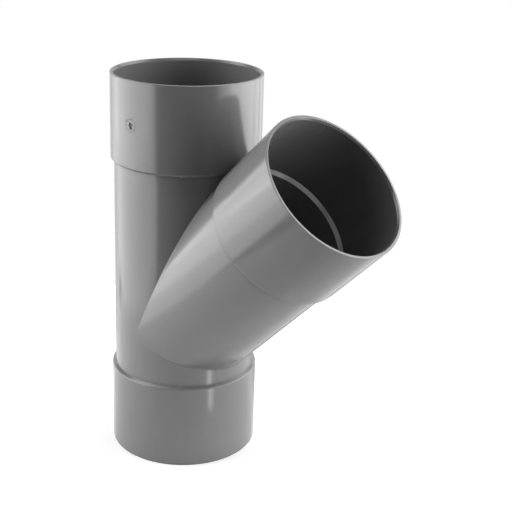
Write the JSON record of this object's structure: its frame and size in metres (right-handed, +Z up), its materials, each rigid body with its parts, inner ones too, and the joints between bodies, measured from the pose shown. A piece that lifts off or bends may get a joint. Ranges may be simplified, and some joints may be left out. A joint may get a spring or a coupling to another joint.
{
  "type": "lateral wye pipe fitting",
  "caption": "Equal 45 degree wye for solvent-welded plastic pipe: a straight run with a plain socket at each end and a slanted side branch with a like socket, moulded in one piece.",
  "frame": {"origin": "centre of the lower socket's mouth, in the plane of the rim that the fitting stands on", "axes": "+Z up the run's axis towards the upper socket, +X towards the side that the branch leans to, +Y square to the plane of the two axes"},
  "size_m": [0.2429, 0.1164, 0.303],
  "materials": {
    "grey_plastic": "rigid grey PVC as moulded, semi-gloss, with faint flow ripple"
  },
  "bodies": {
    "root": {"wye_body": "grey_plastic"}
  },
  "joints": []
}
